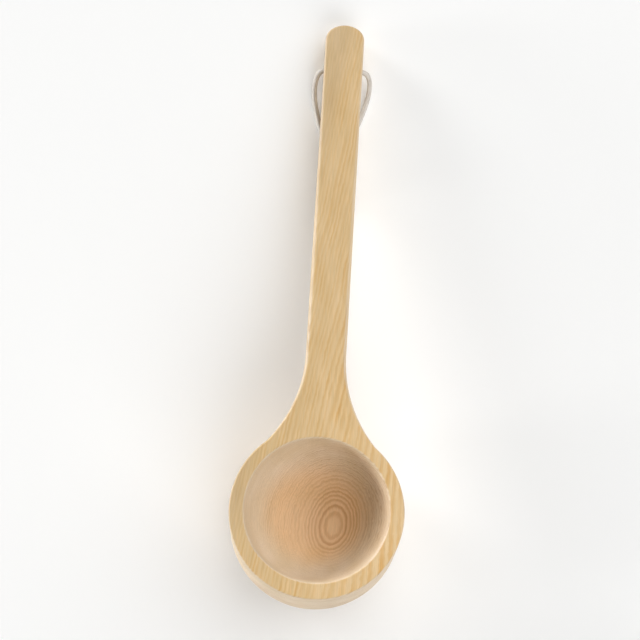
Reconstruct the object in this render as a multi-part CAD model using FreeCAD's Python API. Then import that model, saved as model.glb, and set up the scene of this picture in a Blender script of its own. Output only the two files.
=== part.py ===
"""Sauna ladle of pale softwood with a leather hanging thong, in millimetres.

The wood is one piece: a turned bowl, a neck that flares into it and a straight handle,
all sharing one flat front face. It is drawn in its own frame, with the bowl's axis on Z,
the front face at z = 0 and the handle along +Y. It is then laid down as it comes to rest,
on its back, on the rounded corner of the bowl and the tip of the handle.
"""
import FreeCAD, Part
import math
import os

# Bowl
overall_length = 400.0
bowl_diameter = 114.0
bowl_depth = 66.0
bowl_corner = 16.0
rim_width = 9.9
hollow_offset = 1.1
floor_thickness = 21.0
floor_spread = 10.9
hollow_corner = 42.0
corner_to_axis = 1.0
corner_to_lip = 5.0
hollow_draft = 13.0
lip_rounding = 1.6

# Handle and neck
handle_width = 26.8
handle_end_thickness = 16.0
neck_thickness = 25.0
neck_flare = 92.0
neck_sweep = 12.0
wall_crossing = 0.6
taper_blend = 260.0
arch_spread = 2.1
end_corner = 9.9
back_rounding = 4.5

# Rounding of the front edge, which is fullest where the handle meets the neck
front_rounding_end = 1.5
front_rounding_neck = 2.5
front_rounding_rim = 1.1

# Cross hole for the thong
bore_diameter = 6.5
bore_from_end = 31.0
bore_mouth_rounding = 0.8

# Thong, a leather lace closed by a knot behind the handle
thong_diameter = 3.5
knot_turns = 3
knot_diameter = 9.4
knot_groove = 0.7
knot_tip = (0.0, 100.7, 4.75)
tail_points = [(1.85, 90.7, 4.75), (2.1, 86.4, 4.5), (5.6, 79.8, 1.9)]

# The thong's route, from the knot up through the cross hole and back to the knot
thong_points = [
    (-1.85, 100.7, 4.75),
    (-1.85, 106.6, 4.75),
    (-6.2, 115.8, 2.3),
    (-12.6, 127.5, 1.9),
    (-16.4, 139.5, 1.9),
    (-19.1, 151.0, 2.9),
    (-19.2, 160.9, 6.2),
    (-17.3, 166.9, 9.6),
    (-13.9, 169.3, 11.2),
    (-7.5, 169.8, 11.4),
    (7.5, 169.8, 11.3),
    (13.9, 169.6, 11.3),
    (17.9, 167.6, 9.6),
    (19.7, 161.5, 6.2),
    (18.4, 151.5, 2.7),
    (14.9, 140.0, 1.9),
    (10.2, 127.5, 1.9),
    (4.9, 115.6, 2.4),
    (1.85, 106.9, 4.75),
    (1.85, 100.7, 4.75),
]

bowl_radius = bowl_diameter / 2
mouth_radius = bowl_radius - rim_width
hollow_depth = bowl_depth - floor_thickness
hollow_floor_radius = mouth_radius + floor_spread
handle_end = overall_length - bowl_radius
half_width = handle_width / 2
end_arch = half_width + arch_spread


def point(x, y, z=0.0):
    return FreeCAD.Vector(x, y, z)


def line(a, b):
    return Part.LineSegment(a, b).toShape()


def arc(a, through, b):
    return Part.Arc(a, through, b).toShape()


def on_circle(centre, radius, angle):
    """The point of a circle in the XY plane at an angle in degrees from +X."""
    a = math.radians(angle)
    return point(centre.x + radius * math.cos(a), centre.y + radius * math.sin(a))


def mirrored(p):
    return point(-p.x, p.y, p.z)


def flare_ends():
    """Where the neck's right flare leaves the handle and where it meets the bowl.

    The flare is an arc tangent to the handle's side and, from outside, to a circle just
    inside the bowl's wall, so it crosses the wall at a small angle. Its centre is one flare
    radius outside the handle's side, and one flare radius plus the circle's radius from the
    bowl's axis.
    """
    across = half_width + neck_flare
    met_radius = bowl_radius - wall_crossing
    along = math.sqrt((met_radius + neck_flare) ** 2 - across ** 2)
    centre = point(across, along)
    turn = math.degrees(math.atan2(along, across))
    return centre, point(half_width, along), on_circle(point(0, 0), met_radius, turn)


def end_points():
    """The right half of the handle's arched end: where its rounded corner starts and stops."""
    arch_centre = handle_end - end_arch
    corner_x = half_width - end_corner
    corner_y = arch_centre + math.sqrt((end_arch - end_corner) ** 2 - corner_x ** 2)
    corner = point(corner_x, corner_y)
    turn = math.degrees(math.atan2(corner_y - arch_centre, corner_x))
    start = point(half_width, corner_y)
    middle = on_circle(corner, end_corner, turn / 2)
    stop = on_circle(corner, end_corner, turn)
    return start, middle, stop


def neck_and_handle_outline():
    """The plan of the neck and handle, closed by a step inside the bowl."""
    centre, at_handle, at_bowl = flare_ends()
    turn = math.degrees(math.atan2(centre.y, centre.x))
    middle = on_circle(centre, neck_flare, 180 + turn / 2)
    start, corner, stop = end_points()
    tip = point(0, handle_end)
    inside = point(at_bowl.x, 0)
    edges = [
        line(inside, at_bowl),
        arc(at_bowl, middle, at_handle),
        line(at_handle, start),
        arc(start, corner, stop),
        arc(stop, tip, mirrored(stop)),
        arc(mirrored(stop), mirrored(corner), mirrored(start)),
        line(mirrored(start), mirrored(at_handle)),
        arc(mirrored(at_handle), mirrored(middle), mirrored(at_bowl)),
        line(mirrored(at_bowl), mirrored(inside)),
        line(mirrored(inside), inside),
    ]
    return Part.Face(Part.Wire(edges))


def taper_slope():
    """The angle of the handle's taper, tangent to the blend and ending at the tip's thickness."""
    run = handle_end - flare_ends()[1].y
    rise = taper_blend - neck_thickness + handle_end_thickness
    return math.asin(taper_blend / math.hypot(run, rise)) - math.atan2(rise, run)


def side_profile():
    """The neck and handle from the side: an even neck, then a taper from where the flare ends."""
    flare_stop = flare_ends()[1].y
    slope = taper_slope()
    blend_centre = point(0, flare_stop, taper_blend - neck_thickness)
    blend_start = point(0, flare_stop, -neck_thickness)
    blend_middle = point(0, flare_stop + taper_blend * math.sin(slope / 2),
                         blend_centre.z - taper_blend * math.cos(slope / 2))
    blend_end = point(0, flare_stop + taper_blend * math.sin(slope),
                      blend_centre.z - taper_blend * math.cos(slope))
    edges = [
        line(point(0, 0, 0), point(0, 0, -neck_thickness)),
        line(point(0, 0, -neck_thickness), blend_start),
        arc(blend_start, blend_middle, blend_end),
        line(blend_end, point(0, handle_end, -handle_end_thickness)),
        line(point(0, handle_end, -handle_end_thickness), point(0, handle_end, 0)),
        line(point(0, handle_end, 0), point(0, 0, 0)),
    ]
    face = Part.Face(Part.Wire(edges))
    face.translate(point(-bowl_diameter, 0, 0))
    return face.extrude(point(2 * bowl_diameter, 0, 0))


def turned(edges):
    """A solid turned about the bowl's axis from a closed half profile in the XZ plane."""
    return Part.Face(Part.Wire(edges)).revolve(point(0, 0, 0), point(0, 0, 1), 360)


def neck_collar():
    """The hollow sweep that carries the neck's underside down and just through the bowl's wall."""
    reach = neck_sweep + wall_crossing
    top = point(bowl_radius + neck_sweep, 0, -neck_thickness)
    bottom = point(bowl_radius - wall_crossing, 0, -neck_thickness - reach)
    half = reach * math.sqrt(0.5)
    middle = point(top.x - half, 0, bottom.z + half)
    inner = bowl_radius / 2
    edges = [
        line(point(inner, 0, 0), point(top.x, 0, 0)),
        line(point(top.x, 0, 0), top),
        arc(top, middle, bottom),
        line(bottom, point(inner, 0, bottom.z)),
        line(point(inner, 0, bottom.z), point(inner, 0, 0)),
    ]
    return turned(edges)


def underside_edges(body):
    """The edges between the side walls and the underside, from the bowl to the handle's tip."""
    chosen = []
    for edge in body.Edges:
        box = edge.BoundBox
        below = box.ZMax < -handle_end_thickness / 2
        upright = box.ZLength > box.XLength + box.YLength
        crossing = box.XMin < -1 and box.XMax > 1
        inside = box.YMin < flare_ends()[2].y - 1
        if below and not (upright or crossing or inside):
            chosen.append(edge)
    return chosen


def neck_and_handle():
    """The neck and handle with their underside edges rounded, ready to join the bowl."""
    block = neck_and_handle_outline().extrude(point(0, 0, -bowl_depth))
    body = block.common(side_profile()).fuse(block.common(neck_collar())).removeSplitter()
    return body.makeFillet(back_rounding, underside_edges(body))


def bowl_outside():
    """The turned outside of the bowl: a straight wall with a full round corner to a flat base."""
    half = bowl_corner * math.sqrt(0.5)
    corner_x = bowl_radius - bowl_corner
    corner_z = bowl_corner - bowl_depth
    edges = [
        line(point(0, 0, 0), point(bowl_radius, 0, 0)),
        line(point(bowl_radius, 0, 0), point(bowl_radius, 0, corner_z)),
        arc(point(bowl_radius, 0, corner_z), point(corner_x + half, 0, corner_z - half),
            point(corner_x, 0, -bowl_depth)),
        line(point(corner_x, 0, -bowl_depth), point(0, 0, -bowl_depth)),
        line(point(0, 0, -bowl_depth), point(0, 0, 0)),
    ]
    return turned(edges)


def corner_radius(lip_foot, lean):
    """The hollow's corner radius, limited by the wall that it meets.

    Over a flat floor, a circle tangent to the floor and to the leaning wall reaches the axis
    with its centre at one radius, and the lip with its end at another. The corner stays
    smaller than both, by a clearance of its own for each.
    """
    below_lip = hollow_depth + lip_foot.z
    room = 1 - math.sin(lean)
    at_axis = (lip_foot.x * math.cos(lean) - below_lip * math.sin(lean)) / room
    at_lip = below_lip / room
    return min(hollow_corner, at_axis - corner_to_axis, at_lip - corner_to_lip)


def hollow():
    """The turned hollow: a dished floor, a wide round corner, an open wall and a soft lip.

    Its axis is offset from the bowl's a little towards the neck.
    """
    lean = math.radians(hollow_draft)
    wall = point(math.sin(lean), 0, math.cos(lean))
    outward = point(math.cos(lean), 0, -math.sin(lean))
    lip_centre = point(mouth_radius + lip_rounding, 0, -lip_rounding)
    lip_foot = lip_centre - outward * lip_rounding
    lip_middle_angle = math.radians(135 + hollow_draft / 2)
    lip_middle = lip_centre + point(math.cos(lip_middle_angle), 0,
                                    math.sin(lip_middle_angle)) * lip_rounding
    lip_top = point(lip_centre.x, 0, 0)
    floor_centre = point(0, 0, hollow_floor_radius - hollow_depth)
    corner = corner_radius(lip_foot, lean)
    gap = hollow_floor_radius - corner
    start = lip_foot - outward * corner
    side = start - floor_centre
    along = side.dot(wall)
    corner_centre = start - wall * (along + math.sqrt(along ** 2 - side.dot(side) + gap ** 2))
    wall_foot = corner_centre + outward * corner
    ray = corner_centre - floor_centre
    ray.normalize()
    floor_rim = floor_centre + ray * hollow_floor_radius
    bisector = (ray + outward).normalize()
    corner_middle = corner_centre + bisector * corner
    half_turn = math.asin(floor_rim.x / hollow_floor_radius) / 2
    floor_middle = floor_centre + point(math.sin(half_turn), 0,
                                        -math.cos(half_turn)) * hollow_floor_radius
    pole = point(0, 0, -hollow_depth)
    above = point(0, 0, 1)
    edges = [
        arc(pole, floor_middle, floor_rim),
        arc(floor_rim, corner_middle, wall_foot),
        line(wall_foot, lip_foot),
        arc(lip_foot, lip_middle, lip_top),
        line(lip_top, lip_top + above),
        line(lip_top + above, above),
        line(above, pole),
    ]
    return turned(edges).translated(point(0, hollow_offset, 0))


def front_rounding(y):
    """The front edge's rounding at a distance along the ladle."""
    flare_stop = flare_ends()[1].y
    flare_start = flare_ends()[2].y
    if y >= flare_stop:
        share = (y - flare_stop) / (handle_end - flare_stop)
        return front_rounding_neck + share * (front_rounding_end - front_rounding_neck)
    share = max(0.0, (y - flare_start) / (flare_stop - flare_start))
    return front_rounding_rim + share * (front_rounding_neck - front_rounding_rim)


def with_rounded_front(body):
    """The body with the outer edge of its front face rounded all the way round."""
    lip = mouth_radius + lip_rounding
    rows = []
    for number, edge in enumerate(body.Edges, 1):
        flat = edge.BoundBox.ZMin > -1e-6
        box = edge.BoundBox
        is_lip = abs(box.XMax - lip) < 0.5 and abs(box.YMax - hollow_offset - lip) < 0.5
        if flat and not is_lip:
            first = edge.valueAt(edge.FirstParameter)
            last = edge.valueAt(edge.LastParameter)
            rows.append((number, front_rounding(first.y), front_rounding(last.y)))
    document = FreeCAD.newDocument("ladle")
    base = document.addObject("Part::Feature", "Body")
    base.Shape = body
    rounded = document.addObject("Part::Fillet", "Rounded")
    rounded.Base = base
    rounded.Edges = rows
    document.recompute()
    return rounded.Shape


def cross_hole(body):
    """The body with its cross hole, at the middle of the handle's thickness, mouths rounded."""
    y = handle_end - bore_from_end
    z = -(handle_end_thickness + bore_from_end * math.tan(taper_slope())) / 2
    radius = bore_diameter / 2
    body = body.cut(Part.makeCylinder(radius, 2 * handle_width, point(-handle_width, y, z),
                                      point(1, 0, 0)))
    mouths = []
    for edge in body.Edges:
        box = edge.BoundBox
        round_here = abs(box.YMin + radius - y) < 0.01 and abs(box.YMax - radius - y) < 0.01
        if round_here and box.XLength < 0.01:
            mouths.append(edge)
    return body.makeFillet(bore_mouth_rounding, mouths)


def rest_tilt():
    """The tilt, in radians, at which the bowl's corner and the handle's tip touch one plane.

    Both are round in the side view, so the plane is the common tangent of two circles.
    """
    slope = taper_slope()
    bowl_y = bowl_radius - bowl_corner
    bowl_z = bowl_corner - bowl_depth
    tip_y = handle_end - back_rounding
    tip_z = back_rounding / math.cos(slope) - back_rounding * math.tan(slope) - handle_end_thickness
    along = tip_y - bowl_y
    below = tip_z - bowl_z
    return (math.asin((bowl_corner - back_rounding) / math.hypot(along, below))
            + math.atan2(below, along))


def laid_down(shape):
    """The shape in the frame of the part: at rest on z = 0, with its box centred on the origin."""
    tilt = rest_tilt()
    shape = shape.copy()
    shape.rotate(point(0, 0, 0), point(1, 0, 0), -math.degrees(tilt))
    corner_y = bowl_radius - bowl_corner
    corner_z = bowl_corner - bowl_depth
    lowest = -corner_y * math.sin(tilt) + corner_z * math.cos(tilt) - bowl_corner
    nearest = -corner_y * math.cos(tilt) + corner_z * math.sin(tilt) - bowl_corner
    farthest = ((handle_end - front_rounding_end) * math.cos(tilt)
                - front_rounding_end * math.sin(tilt) + front_rounding_end)
    shape.translate(point(0, -(nearest + farthest) / 2, -lowest))
    return shape


def rounded_route(points):
    """Straight runs joined by tangent arcs, each as large as its two runs allow."""
    corners = [point(*p) for p in points]
    edges = []
    radii = []
    here = corners[0]
    for before, corner, after in zip(corners, corners[1:], corners[2:]):
        back = (before - corner).normalize()
        onward = (after - corner).normalize()
        half_turn = (math.pi - back.getAngle(onward)) / 2
        reach = 0.45 * min(before.distanceToPoint(corner), corner.distanceToPoint(after))
        radius = reach / math.tan(half_turn)
        start = corner + back * reach
        stop = corner + onward * reach
        middle = corner + (back + onward).normalize() * (radius / math.cos(half_turn) - radius)
        edges.append(line(here, start))
        edges.append(arc(start, middle, stop))
        radii.append(round(radius, 1))
        here = stop
    edges.append(line(here, corners[-1]))
    return Part.Wire(edges), radii


def tube(points, diameter):
    """A round lace of one diameter along a rounded route."""
    route, radii = rounded_route(points)
    start = point(*points[0])
    direction = (point(*points[1]) - start).normalize()
    section = Part.Wire(Part.makeCircle(diameter / 2, start, direction))
    solid = route.makePipeShell([section], True, True, 2)
    expected = math.pi * diameter ** 2 / 4 * route.Length
    print("lace", round(route.Length, 1), "mm, radii", radii,
          "volume", round(solid.Volume, 1), "expected", round(expected, 1))
    return solid


def knot():
    """The thong's knot: a barrel of wrapped turns round both strands, with two short ends."""
    groove_radius = knot_diameter / 2 - knot_groove
    length = knot_turns * thong_diameter
    edges = [line(point(0, 0), point(groove_radius, 0))]
    for turn in range(knot_turns):
        near = -turn * thong_diameter
        far = near - thong_diameter
        edges.append(arc(point(groove_radius, near), point(knot_diameter / 2, (near + far) / 2),
                         point(groove_radius, far)))
    edges.append(line(point(groove_radius, -length), point(0, -length)))
    edges.append(line(point(0, -length), point(0, 0)))
    barrel = Part.Face(Part.Wire(edges)).revolve(point(0, 0, 0), point(0, 1, 0), 360)
    barrel.translate(point(*knot_tip))
    tail = tube(tail_points, thong_diameter)
    other_tail = tail.mirror(point(0, 0, 0), point(1, 0, 0))
    return barrel.fuse([tail, other_tail])


def ladle_body():
    """The wooden piece, laid down at rest."""
    body = neck_and_handle().fuse(bowl_outside()).removeSplitter().cut(hollow())
    return laid_down(cross_hole(with_rounded_front(body)))


def only_solid(shape):
    """The one solid that the shape holds."""
    if len(shape.Solids) != 1:
        raise ValueError("expected one solid, got " + str(len(shape.Solids)))
    return shape.Solids[0]


def main():
    os.makedirs("parts", exist_ok=True)
    nodes = {
        "ladle_body": ladle_body(),
        "hanging_thong": tube(thong_points, thong_diameter),
        "thong_knot": knot(),
    }
    for name, shape in nodes.items():
        solid = only_solid(shape)
        solid.exportStep("parts/" + name + ".step")
        box = solid.BoundBox
        print(name, solid.isValid(), "volume", round(solid.Volume, 1), "box",
              [round(v, 2) for v in (box.XMin, box.XMax, box.YMin, box.YMax, box.ZMin, box.ZMax)])


main()
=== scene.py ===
import math
from functools import partial

import bpy
import numpy as np
from mathutils import Matrix, Vector


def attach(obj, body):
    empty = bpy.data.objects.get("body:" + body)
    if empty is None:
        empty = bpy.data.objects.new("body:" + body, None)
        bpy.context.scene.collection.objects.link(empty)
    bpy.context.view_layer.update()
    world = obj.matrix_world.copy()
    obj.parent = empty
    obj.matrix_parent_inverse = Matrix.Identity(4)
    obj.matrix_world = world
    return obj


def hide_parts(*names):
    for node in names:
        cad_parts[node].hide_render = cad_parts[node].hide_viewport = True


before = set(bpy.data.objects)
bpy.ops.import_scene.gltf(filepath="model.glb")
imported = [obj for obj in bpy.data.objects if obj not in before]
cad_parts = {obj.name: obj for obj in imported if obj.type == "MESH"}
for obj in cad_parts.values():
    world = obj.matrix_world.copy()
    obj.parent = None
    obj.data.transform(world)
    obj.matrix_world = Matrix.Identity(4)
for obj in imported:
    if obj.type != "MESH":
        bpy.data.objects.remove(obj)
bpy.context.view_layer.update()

# The ladle's own frame, in mm, has its origin in the middle of the rim, Z out of the bowl and Y
# towards the handle's end. In the row frame, in metres, it is tilted back by this angle.
REST_TILT = math.radians(9.5387)
RIM_CENTRE = Vector((0.0, -0.1366555, 0.072103))

# The photograph's camera: the point it looks at in the ladle's own frame, its distance in metres,
# its leans across and along the ladle and its roll in degrees, its sensor in mm, and the picture's
# width in pixels with the size of one, in metres, at that distance
LOOKED_AT = (-5.44, 128.24, 0)
EYE_DISTANCE = 1.2071
LEAN_ACROSS, LEAN_ALONG, ROLL = -0.26, 15.85, 3.56
SENSOR = 36
PICTURE_WIDTH, PIXEL = 640, 0.00066489

# The lace's thickness in metres
LACE = 0.0035

# The lace's route, from the knot up through the cross hole and back to the knot, in metres
LACE_ROUTE = [
    (-0.00185, 0.1007, 0.00475),
    (-0.00185, 0.1066, 0.00475),
    (-0.0062, 0.1158, 0.0023),
    (-0.0126, 0.1275, 0.0019),
    (-0.0164, 0.1395, 0.0019),
    (-0.0191, 0.151, 0.0029),
    (-0.0192, 0.1609, 0.0062),
    (-0.0173, 0.1669, 0.0096),
    (-0.0139, 0.1693, 0.0112),
    (-0.0075, 0.1698, 0.0114),
    (0.0075, 0.1698, 0.0113),
    (0.0139, 0.1696, 0.0113),
    (0.0179, 0.1676, 0.0096),
    (0.0197, 0.1615, 0.0062),
    (0.0184, 0.1515, 0.0027),
    (0.0149, 0.14, 0.0019),
    (0.0102, 0.1275, 0.0019),
    (0.0049, 0.1156, 0.0024),
    (0.00185, 0.1069, 0.00475),
    (0.00185, 0.1007, 0.00475),
]

# One of the knot's two short ends, from inside the knot out to its cut end, and how much nearer
# the handle's end the other one lies, in metres
TAIL_ROUTE = [
    (0.00185, 0.0935, 0.00475),
    (0.00185, 0.0907, 0.00475),
    (0.0021, 0.0864, 0.0045),
    (0.0056, 0.0798, 0.0019),
]
TAIL_STEP = 0.0012

# The knot's wraps, in metres: where their coil starts, its radius, how far a turn takes it, and
# how many turns it has
KNOT_START = (0, 0.0990, 0.00475)
KNOT_RADIUS = 0.00290
KNOT_PITCH = 0.0033
KNOT_TURNS = 3.0

# Both strands inside the wraps: their stretch along the ladle, in metres, and their share of the
# lace's thickness, which keeps them within the loop's own ends
STRAND_SPAN = (0.1012, 0.0945)
STRAND_SIZE = 0.985

# How far the loop and the knot's short ends turn about themselves, in radians a metre
LOOP_TWIST, TAIL_TWIST = 14.0, 20.0

# Pine's earlywood and latewood, on the face, on the hollow's floor and on the bowl's walls. The
# walls' pair also lies, paler, on the handle's rounded edges as a painted highlight.
FACE_WOOD = ("#DBBD8C", "#CF9F57")
HOLLOW_WOOD = ("#E4C092", "#C8996A")
WALL_WOOD_AND_EDGE_HIGHLIGHT = ("#DECBAF", "#C2A47E")

# The pith, in the ladle's own frame. A place's distances across and above it are each the dot
# product of its position with three slopes, plus an offset in mm.
ACROSS_PITH = ((1.0, -0.1432, -0.454), -41.43)
ABOVE_PITH = ((0.0, 0.0159, 1.0), 81.7)

# The growth rings: how far from the pith they are drawn, in mm, and how many fit there
PITH_REACH = 150.0
DRAWN_RINGS = 105.0

# The bull's eye on the hollow's floor starts this far from the pith, in mm, with this ring number,
# its dark lines end at these distances past it, and the rings beyond are this far apart. A dark
# line ends at this fraction of its ring's number.
EYE_START = 39.12
EYE_NUMBER = 38.1
EYE_LINES = (0.8, 1.87, 3.17, 4.37, 5.65, 7.2, 8.85, 10.9, 13.1)
RING_STEP = 1.75
LINE_END = 0.9

# How much brighter than it is lit the camera sees the floor, and the room's strength as a light
# and as the camera and reflections see it
PAPER_GLOW = 0.11
ROOM_LIGHT, ROOM_SEEN = 0.07, 1.0

# The suns: azimuth and elevation in degrees, strength in watts a square metre, breadth in degrees
SUNS = {
    "key": (46, 45, 2.1, 80),
    "fill": (293, 31, 1.5, 50),
    "low_side": (146, 7, 2.5, 20),
    "low_left": (190, 4, 1.6, 14),
}


# Camera

def from_ladle(point):
    """A point of the ladle's own frame, in mm, as a point of the row frame, in metres."""
    return Matrix.Rotation(-REST_TILT, 3, "X") @ Vector(point) / 1000 + RIM_CENTRE


def camera():
    """The photograph's camera: over the ladle, a little to the bowl's end, and rolled."""
    target = from_ladle(LOOKED_AT)
    lean_x = math.radians(LEAN_ACROSS)
    lean_y = math.radians(LEAN_ALONG) - REST_TILT
    back = Vector((math.sin(lean_x), -math.sin(lean_y), 0))
    back.z = math.sqrt(1 - back.x ** 2 - back.y ** 2)
    right = Vector((0, 1, 0)).cross(back).normalized()
    up = back.cross(right)
    roll = math.radians(ROLL)
    side = right * math.cos(roll) + up * math.sin(roll)
    top = up * math.cos(roll) - right * math.sin(roll)
    data = bpy.data.cameras.new("photo_camera")
    data.sensor_width = SENSOR
    data.lens = SENSOR * EYE_DISTANCE / (PICTURE_WIDTH * PIXEL)
    eye = bpy.data.objects.new("photo_camera", data)
    turn = Matrix((side, top, back)).transposed()
    eye.matrix_world = Matrix.Translation(target + back * EYE_DISTANCE) @ turn.to_4x4()
    bpy.context.scene.collection.objects.link(eye)
    bpy.context.scene.camera = eye


# Lace and knot

def route_line(points, steps=24):
    """Close points along a NURBS spline of order 3 whose control points are the route."""
    curve = bpy.data.curves.new("route", "CURVE")
    curve.dimensions = "3D"
    curve.resolution_u = steps
    spline = curve.splines.new("NURBS")
    spline.points.add(len(points) - 1)
    spline.points.foreach_set("co", np.c_[points, np.ones(len(points))].ravel())
    spline.order_u = 3
    spline.use_endpoint_u = True
    holder = bpy.data.objects.new("route", curve)
    mesh = bpy.data.meshes.new_from_object(holder)
    line = np.empty(3 * len(mesh.vertices))
    mesh.vertices.foreach_get("co", line)
    bpy.data.objects.remove(holder)
    bpy.data.curves.remove(curve)
    bpy.data.meshes.remove(mesh)
    return line.reshape(-1, 3)


def along(line):
    """The distance of each point of a line from its start, along the line."""
    steps = np.linalg.norm(np.diff(line, axis=0), axis=1)
    return np.concatenate([[0.0], np.cumsum(steps)])


def lace_grid(line, around=28, twist=0.0, size=1.0, reference=(0.0, 0.0, 1.0)):
    """The surface of a lace that follows a line, and the distance of each of its rings.

    Its section is a rounded square: at the angle a round the line, the surface is half the lace
    times the fill times (|cos a|^n + |sin a|^n)^(-1/n) away, with n the power. The fill draws the
    flat sides in, because the corners stand out. The section turns about the line by the twist, in
    radians a metre, and starts square to the reference.
    """
    power, fill = 2.7, 0.965
    distance = along(line)
    forward = np.gradient(line, axis=0)
    forward /= np.linalg.norm(forward, axis=1)[:, None]
    side = np.cross(np.broadcast_to(reference, line.shape), forward)
    side /= np.linalg.norm(side, axis=1)[:, None]
    up = np.cross(forward, side)
    angle = np.linspace(0, 2 * np.pi, around, endpoint=False)
    reach = (np.abs(np.cos(angle)) ** power + np.abs(np.sin(angle)) ** power) ** (-1 / power)
    turned = angle[None, :] + twist * distance[:, None]
    half = LACE / 2 * size * fill * reach[None, :]
    ring = (np.cos(turned) * half)[:, :, None] * side[:, None, :]
    ring = ring + (np.sin(turned) * half)[:, :, None] * up[:, None, :]
    return line[:, None, :] + ring, distance


def tube_mesh(name, parts):
    """One mesh of closed tubes, each a grid of points (along, around) with its distances.

    Each end is closed by a fan of triangles to the mean of its ring. The UV map holds, in
    metres, the distance along the lace and the distance round it, and zero on the ends.
    """
    corners, faces, maps = [], [], []
    start = 0
    for grid, distance in parts:
        rows, around = grid.shape[:2]
        corners += [grid.reshape(-1, 3), grid[[0, -1]].mean(axis=1)]
        i, j = np.meshgrid(np.arange(rows - 1), np.arange(around), indexing="ij")
        k = (j + 1) % around
        body = np.stack([i * around + j, i * around + k, (i + 1) * around + k,
                         (i + 1) * around + j], axis=-1).reshape(-1, 4)
        width = LACE * np.pi / around
        body_uv = np.stack([
            np.stack([distance[i], j * width], -1), np.stack([distance[i], (j + 1) * width], -1),
            np.stack([distance[i + 1], (j + 1) * width], -1), np.stack([distance[i + 1], j * width], -1),
        ], axis=2).reshape(-1, 2)
        ring = np.arange(around)
        after = (ring + 1) % around
        top = (rows - 1) * around
        first, last = rows * around, rows * around + 1
        ends = np.concatenate([np.stack([np.full(around, first), after, ring], -1),
                               np.stack([np.full(around, last), top + ring, top + after], -1)])
        faces += (body + start).tolist() + (ends + start).tolist()
        maps += [body_uv, np.zeros((ends.size, 2))]
        start += rows * around + 2
    mesh = bpy.data.meshes.new(name)
    mesh.from_pydata(np.concatenate(corners).tolist(), [], faces)
    layer = mesh.uv_layers.new(name="lace_uv")
    layer.data.foreach_set("uv", np.concatenate(maps).ravel())
    mesh.shade_smooth()
    mesh.update()
    piece = bpy.data.objects.new(name, mesh)
    bpy.context.scene.collection.objects.link(piece)
    return piece


def knot_coil(phase, steps=48):
    """The line of the knot's wraps, a coil that runs down the ladle.

    After t turns the point is at the angle 2 pi t + phase round the coil's middle and t pitches
    down from its start. It is radius (tight + (1 - tight) s) from the middle, where s is the
    smoothstep of the turns to the nearer end over the run-in, so both ends go into the knot.
    """
    tight, run_in = 0.45, 0.22
    t = np.linspace(0, KNOT_TURNS, int(KNOT_TURNS * steps) + 1)
    swell = np.clip(np.minimum(t, KNOT_TURNS - t) / run_in, 0, 1)
    swell = swell * swell * (3 - 2 * swell)
    radius = KNOT_RADIUS * (tight + (1 - tight) * swell)
    angle = 2 * np.pi * t + phase
    x, y, z = KNOT_START
    return np.stack([x + radius * np.cos(angle), y - KNOT_PITCH * t, z + radius * np.sin(angle)], axis=-1)


def lace_and_knot():
    """The lace in its loop, and the knot that holds both of its ends."""
    line = route_line(LACE_ROUTE)
    loop = tube_mesh("hanging_lace", [lace_grid(line, twist=LOOP_TWIST)])
    wraps = lace_grid(knot_coil(phase=0.6), around=24, reference=(0, 1, 0))
    mirror = [-1, 1, 1]
    tail = route_line(TAIL_ROUTE, 12)
    other = tail * mirror + [0, TAIL_STEP, 0]
    strand = np.array(LACE_ROUTE[-1:] * 9)
    strand[:, 1] = np.linspace(*STRAND_SPAN, len(strand))
    knot = tube_mesh("lace_knot", [
        wraps, lace_grid(tail, twist=TAIL_TWIST), lace_grid(other, twist=-TAIL_TWIST),
        lace_grid(strand, size=STRAND_SIZE), lace_grid(strand * mirror, size=STRAND_SIZE),
    ])
    leather = lace_leather()
    for piece, node in ((loop, "hanging_thong"), (knot, "thong_knot")):
        piece.data.materials.append(leather)
        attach(piece, "root")
        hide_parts(node)


# Materials

def linear(hexa):
    """A colour's linear values from its sRGB hex, with alpha 1."""
    parts = [int(hexa[i:i + 2], 16) / 255 for i in (1, 3, 5)]
    return [p / 12.92 if p <= 0.04045 else ((p + 0.055) / 1.055) ** 2.4 for p in parts] + [1.0]


def stop_colour(colour):
    """A ramp stop's four values, from an sRGB hex, one factor for all three parts, or three."""
    if isinstance(colour, str):
        return linear(colour)
    factors = colour if isinstance(colour, tuple) else (colour,) * 3
    return (*factors, 1.0)


def feed(tree, node, links):
    """Sets a node's inputs, from a dict by their names or a list in the order of those in use.

    An input gets a value, a socket, or a node, which stands for its first output in use.
    """
    if isinstance(links, dict):
        pairs = [(node.inputs[name], value) for name, value in links.items()]
    else:
        pairs = zip([socket for socket in node.inputs if socket.enabled], links)
    for socket, value in pairs:
        if isinstance(value, bpy.types.Node):
            value = next(output for output in value.outputs if output.enabled)
        if isinstance(value, bpy.types.NodeSocket):
            tree.links.new(value, socket)
        else:
            socket.default_value = value


def add(tree, kind, links=(), stops=(), **settings):
    """Adds a node: its inputs as links, its colour ramp's stops, and its attributes as settings.

    A MapRange takes its value, the span it comes from, and the span it goes to if not 0 to 1.
    """
    node = tree.nodes.new("ShaderNode" + kind)
    for name, value in settings.items():
        setattr(node, name, value)
    feed(tree, node, links)
    if stops:
        band = node.color_ramp.elements
        while len(band) < len(stops):
            band.new(0.5)
        for element, (position, colour) in zip(band, stops):
            element.position = position
            element.color = stop_colour(colour)
    return node


def new_material(name):
    """A new node material, its tree, and the Principled shader that its output shows."""
    material = bpy.data.materials.new(name)
    material.use_nodes = True
    tree = material.node_tree
    tree.nodes.clear()
    shader = add(tree, "BsdfPrincipled")
    add(tree, "OutputMaterial", {"Surface": shader})
    return material, tree, shader


# In the functions of a material's parts, node is add() for that material's own tree

def mottle(node, place, grain, **noise):
    """Smooth noise in grains of about this size along x, y and z: the noise of place / grain."""
    scaled = node("VectorMath", [place, [1 / size for size in grain]], operation="MULTIPLY")
    return node("TexNoise", {"Vector": scaled, "Scale": 1.0, **noise})


def from_pith(*stops):
    """Ramp stops over the share of the pith's reach, from their distances to the pith in mm."""
    return [(distance / PITH_REACH, colour) for distance, colour in stops]


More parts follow.
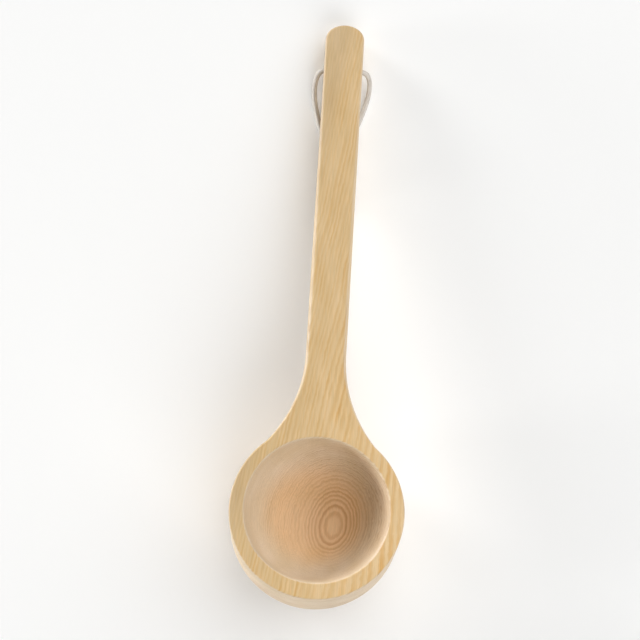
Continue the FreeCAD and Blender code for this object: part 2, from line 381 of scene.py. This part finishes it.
def own_place(node):
    """The position in the ladle's own frame, in mm: the row frame's position, turned about X by
    the rest tilt, less the middle of the rim turned the same way."""
    c, s = math.cos(REST_TILT), math.sin(REST_TILT)
    y, z = RIM_CENTRE.y * 1000, RIM_CENTRE.z * 1000
    return node("Mapping", {
        "Vector": node("TexCoord").outputs["Object"], "Location": (0, -(y * c - z * s), -(y * s + z * c)),
        "Rotation": (REST_TILT, 0, 0), "Scale": (1000, 1000, 1000)})


def bowl_parts(node, x, y, z):
    """Two masks: 1 on the bowl's walls and less along the neck's sides, and 1 in its hollow.

    Walls = steep x below x bowl, and hollow = low x below, where below is 1 under the rim.
    Steep rises with the distance from the middle of the hollow's floor, bowl falls with the
    distance from the rim's middle, and low is 1 within the mouth. All spans are in mm. Along the
    neck and the handle the walls mask lies on the rounded edges just under the face, where the
    walls' tone is a painted highlight.
    """
    floor_middle = (0.0, 4.0, 0.0)
    under_rim, mouth_edge = (-0.02, -0.4), (50.0, 46.0)
    wall_span, handle_span = (23.0, 41.0), (60.0, 200.0)
    flat = node("CombineXYZ", [x, y])
    reach = node("VectorMath", [flat], operation="LENGTH")
    middle = node("VectorMath", [flat, floor_middle], operation="DISTANCE")
    steep = node("MapRange", [middle, *wall_span], interpolation_type="SMOOTHSTEP")
    below = node("MapRange", [z, *under_rim])
    bowl = node("MapRange", [reach, *handle_span, 1.0, 0.65])
    low = node("MapRange", [reach, *mouth_edge])
    # the walls' mask, which along the neck and handle paints a highlight on the rounded edges
    wall_mask_and_edge_highlight = node("Math", [steep, below], operation="MULTIPLY")
    return (node("Math", [wall_mask_and_edge_highlight, bowl], operation="MULTIPLY"),
            node("Math", [low, below], operation="MULTIPLY"))


def pith_distance(node, place, y):
    """A place's distance from the pith, in mm: the length of its distances across and above.

    The place first moves by (noise - 0.5) x swing x grows across and up, where grows rises along
    the handle, so the lines on the face aren't straight.
    """
    handle_span, swing = (40.0, 170.0), 7.0
    grows = node("MapRange", [y, *handle_span, 0.12, 1.0])
    wander = mottle(node, place, (34, 95, 34), Detail=2.0, Roughness=0.45).outputs["Color"]
    wander = node("VectorMath", [wander, (0.5, 0.5, 0.5)], operation="SUBTRACT")
    wander = node("VectorMath", [wander, (swing, 0, swing)], operation="MULTIPLY")
    wander = node("VectorMath", [wander, grows], operation="SCALE")
    moved = node("VectorMath", [place, wander], operation="ADD")
    parts = [
        node("Math", [node("VectorMath", [moved, slopes], operation="DOT_PRODUCT"), offset])
        for slopes, offset in (ACROSS_PITH, ABOVE_PITH)]
    return node("VectorMath", [node("CombineXYZ", parts)], operation="LENGTH")


def growth_rings(node, place, x, y, z, hollow):
    """The growth ring's number with its fraction, and the pith's distance as a share of its reach.

    The distance d from the pith gets a ripple of the fibres, (noise - 0.5) x depth x cut, where
    depth grows outwards from the first rings of the bull's eye and cut is more in the hollow.
    It also gets a bend, steepness x (x - start)^2 right of the start and near the face, which
    takes the rings down on the right. The number is a curve over d through its marks, plus
    (noise - 0.5) x depth x unevenness.
    """
    eye_edge, upper_span = (42.0, 54.0), (-32.0, -6.0)
    bend_start, steepness, unevenness = 10.0, -0.006, 0.9
    distance = pith_distance(node, place, y)
    depth = node("MapRange", [distance, *eye_edge, 0.12, 0.9])
    cut = node("MapRange", [hollow, 0.0, 1.0, 0.8, 3.0])
    ripple = mottle(node, place, (2.6, 4.5, 2.6), Detail=1.0, Roughness=0.4)
    ripple = node("Math", [ripple, 0.5], operation="SUBTRACT")
    strength = node("Math", [depth, cut], operation="MULTIPLY")
    ripple = node("Math", [ripple, strength], operation="MULTIPLY")
    distance = node("Math", [distance, ripple])
    past = node("Math", [node("Math", [x, -bend_start]), 0.0], operation="MAXIMUM")
    square = node("Math", [past, past], operation="MULTIPLY")
    upper = node("MapRange", [z, *upper_span], interpolation_type="SMOOTHSTEP")
    bend = node("Math", [upper, steepness], operation="MULTIPLY")
    bend = node("Math", [square, bend], operation="MULTIPLY")
    distance = node("Math", [distance, bend])
    share = node("Math", [distance, PITH_REACH], operation="DIVIDE")
    number = node("FloatCurve", {"Value": share})
    draw_marks(number.mapping)
    number = node("Math", [number, DRAWN_RINGS], operation="MULTIPLY")
    uneven = node("TexNoise", {"W": number, "Scale": 0.55, "Detail": 1.0}, noise_dimensions="1D")
    uneven = node("Math", [uneven, 0.5], operation="SUBTRACT")
    strength = node("Math", [depth, unevenness], operation="MULTIPLY")
    uneven = node("Math", [uneven, strength], operation="MULTIPLY")
    return node("Math", [number, uneven]), share


def draw_marks(mapping):
    """Draws the curve of ring numbers through its marks: the pith, the start of the bull's eye,
    each of its dark lines, and some of the even rings beyond."""
    first_line = math.floor(EYE_NUMBER) + LINE_END
    marks = [(0, 0), (EYE_START, EYE_NUMBER)]
    marks += [(EYE_START + past, first_line + line) for line, past in enumerate(EYE_LINES)]
    last_place, last_number = marks[-1]
    marks += [(last_place + RING_STEP * more, last_number + more) for more in (6, 15, 30, 55)]
    curve = mapping.curves[0]
    while len(curve.points) < len(marks):
        curve.points.new(0.5, 0.5)
    for point, (distance, number) in zip(curve.points, marks):
        point.location = (distance / PITH_REACH, number / DRAWN_RINGS)
        point.handle_type = "AUTO_CLAMPED"
    mapping.update()


def latewood(node, place, x, y, number, share, hollow):
    """How much latewood a place shows, from 0 to about 1.

    It is the ring's profile over its number's fraction, times the year's strength, times the
    strength at that distance from the pith, times a local share. Outside the hollow the share is
    patches along the lines. In the hollow it is 1 in the bull's eye, and beyond it less to the
    left and towards the bowl's far end.
    """
    far_span, left_span = (-24.0, -10.0), (-14.0, 2.0)
    fraction = node("Math", [number], operation="FRACT")
    late = node("ValToRGB", [fraction], [
        (0.0, 0.7), (0.08, 0.15), (0.22, 0.0), (0.42, 0.12), (0.60, 0.7), (0.74, 1.0), (LINE_END, 1.0),
        (1.0, 0.7)])
    whole = node("Math", [number], operation="FLOOR")
    year = node("TexNoise", {"W": whole, "Scale": 1.37, "Detail": 0.0}, noise_dimensions="1D")
    year = node("ValToRGB", [year], [(0.3, 0.4), (0.7, 1.0)])
    # full in the bull's eye, less up the hollow's wall, strong on the face right over the pith,
    # and faint at the outer rings
    near = node("ValToRGB", [share], from_pith(
        (40.5, 1.0), (43.5, 0.85), (54, 0.6), (81, 0.95), (99, 0.65), (120, 0.55), (126, 0.25)))
    # the lines come and go along their length, in patches of about 8 by 30 mm
    patch = mottle(node, place, (8, 30, 8), Detail=1.0)
    patch = node("ValToRGB", [patch], [(0.36, 0.4), (0.60, 1.15)])
    eye = node("ValToRGB", [share], from_pith((42.45, 1.0), (45, 0.0)))
    far = node("MapRange", [y, *far_span, 0.4, 1.0])
    left = node("MapRange", [x, *left_span, 0.6, 1.0])
    part = node("Math", [far, left], operation="MULTIPLY")
    part = node("Math", [part, eye], operation="MAXIMUM")
    local = node("Mix", [hollow, patch, part])
    for factor in (year, near, local):
        late = node("Math", [late, factor], operation="MULTIPLY")
    return late


def wood_colour(node, place, late, share, fibre, wall_mask_and_edge_highlight, hollow):
    """The wood's colour: from earlywood to latewood by the latewood shown, times three tones.

    The hollow's floor and the walls have pairs of their own, because a cut across the fibres
    scatters a greyer light; the walls' pair also lies on the handle's rounded edges as a painted
    highlight. The tones are painted light and shade, lighter near the pith and darker over the
    outer rings towards the rim's left side, where the light falls off; the board's figure in soft
    areas of about 15 by 50 mm; and the streaks of its fibres.
    """
    face, floor_wood, wall_pair_and_edge_highlight = (
        node("Mix", [late, linear(early), linear(dark)], data_type="RGBA")
        for early, dark in (FACE_WOOD, HOLLOW_WOOD, WALL_WOOD_AND_EDGE_HIGHLIGHT))
    wood = node("Mix", [hollow, face, floor_wood], data_type="RGBA")
    # the walls' greyer pair, which on the handle's rounded edges is a painted highlight
    wood = node("Mix", [wall_mask_and_edge_highlight, wood, wall_pair_and_edge_highlight], data_type="RGBA")
    # painted light and shade: lighter near the pith, darker over the outer rings towards the rim's left
    # side, where the light falls off
    painted_falloff = node("ValToRGB", [share], from_pith(
        (81, (1.04, 1.04, 1.06)), (93, 1.0), (105, 0.94), (118.5, 0.93), (124.5, (0.82, 0.82, 0.84))))
    figure = mottle(node, place, (15, 50, 15), Detail=2.0)
    figure = node("ValToRGB", [figure], [(0.3, (0.94, 0.91, 0.84)), (0.7, (1.04, 1.05, 1.09))])
    streaks = node("ValToRGB", [fibre], [(0.3, 0.89), (0.7, 1.08)])
    for tone in (painted_falloff, figure, streaks):
        wood = node("Mix", [1.0, wood, tone], data_type="RGBA", blend_type="MULTIPLY")
    return wood


def sanded_pine():
    """Pine, sawn and turned, then sanded bare: pale earlywood with honey latewood lines.

    The eye gets a dull sheen, a little brighter on the hard latewood, and faint ridges of the
    fibres. All of it follows one field of growth rings, so the rings run on from the face into
    the hollow, where its floor shows them as a bull's eye, and round the sides.
    """
    material, tree, shader = new_material("sanded_pine")
    node = partial(add, tree)
    place = own_place(node)
    x, y, z = node("SeparateXYZ", [place]).outputs
    wall_mask_and_edge_highlight, hollow = bowl_parts(node, x, y, z)
    number, share = growth_rings(node, place, x, y, z, hollow)
    late = latewood(node, place, x, y, number, share, hollow)
    # fibre streaks, 0.5 mm wide and about 14 mm long, wider than real ones so that they show
    fibre = mottle(node, place, (0.5, 14, 0.5), Detail=3.0, Roughness=0.6)
    height = node("Math", [
        node("Math", [fibre, 0.6], operation="MULTIPLY"), node("Math", [late, 0.5], operation="MULTIPLY")])
    feed(tree, shader, {
        "Base Color": wood_colour(node, place, late, share, fibre, wall_mask_and_edge_highlight, hollow),
        "Normal": node("Bump", {"Height": height, "Strength": 0.25, "Distance": 0.00008}),
        "Roughness": node("ValToRGB", [late], [(0.0, 0.56), (1.0, 0.46)]),
        "IOR": 1.5, "Specular IOR Level": 0.5})
    return material


def lace_leather():
    """Undyed lace leather, cut square and rubbed soft: matt, pale grey-brown, with creases along it."""
    material, tree, shader = new_material("lace_leather")
    node = partial(add, tree)
    # a crease is about 4.5 mm long and 0.5 mm wide, and the map is in metres
    crease = mottle(node, node("UVMap", uv_map="lace_uv"), (1 / 220, 1 / 1900, 1), Detail=4.0, Roughness=0.6)
    feed(tree, shader, {
        "Base Color": node("ValToRGB", [crease], [(0.3, "#B5AEA5"), (0.5, "#CFC9C1"), (0.72, "#DFDBD6")]),
        "Normal": node("Bump", {"Height": crease, "Strength": 0.5, "Distance": 0.00015}),
        "Roughness": 0.72, "Specular IOR Level": 0.3})
    return material


def white_paper():
    """Smooth white paper, matt. The camera alone sees it a little brighter than it is lit, so that
    it reaches white outside the shadow."""
    material, tree, shader = new_material("white_paper")
    seen = add(tree, "LightPath").outputs["Is Camera Ray"]
    feed(tree, shader, {
        "Base Color": linear("#F4F4F3"), "Roughness": 0.9, "Emission Color": linear("#FFFFFF"),
        "Emission Strength": add(tree, "Math", [seen, PAPER_GLOW], operation="MULTIPLY")})
    return material


# Stage

def floor():
    """A plain white floor that takes the shadow, 6 m square."""
    mesh = bpy.data.meshes.new("floor")
    half = 3.0
    mesh.from_pydata([(-half, -half, 0), (half, -half, 0), (half, half, 0), (-half, half, 0)], [],
                     [(0, 1, 2, 3)])
    mesh.materials.append(white_paper())
    piece = bpy.data.objects.new("floor", mesh)
    bpy.context.scene.collection.objects.link(piece)


def sun(name, azimuth, elevation, strength, breadth):
    """A sun that shines from a direction, round the Z axis from X and up, in degrees."""
    azimuth, elevation = math.radians(azimuth), math.radians(elevation)
    toward = Vector((math.cos(azimuth) * math.cos(elevation), math.sin(azimuth) * math.cos(elevation),
                     math.sin(elevation)))
    data = bpy.data.lights.new(name, "SUN")
    data.energy = strength
    data.angle = math.radians(breadth)
    light = bpy.data.objects.new(name, data)
    light.rotation_mode = "QUATERNION"
    light.rotation_quaternion = toward.to_track_quat("Z", "Y")
    bpy.context.scene.collection.objects.link(light)


def lights():
    """A large soft key from the right, a soft fill from the bowl's end, and two low suns from the
    left, in a pale room that lights little but shows white to the camera and in reflections."""
    for name, values in SUNS.items():
        sun(name, *values)
    world = bpy.data.worlds.new("pale_room")
    world.use_nodes = True
    tree = world.node_tree
    tree.nodes.clear()
    rays = add(tree, "LightPath").outputs
    seen = add(tree, "Math", [rays["Is Camera Ray"], rays["Is Glossy Ray"]], operation="MAXIMUM")
    strength = add(tree, "MapRange", {"Value": seen, "To Min": ROOM_LIGHT, "To Max": ROOM_SEEN})
    add(tree, "OutputWorld", {
        "Surface": add(tree, "Background", {"Color": (1, 1, 1, 1), "Strength": strength})})
    bpy.context.scene.world = world


camera()
lace_and_knot()
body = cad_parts["ladle_body"].data
body.materials.clear()
body.materials.append(sanded_pine())
floor()
lights()
bpy.context.scene.view_settings.view_transform = "Standard"
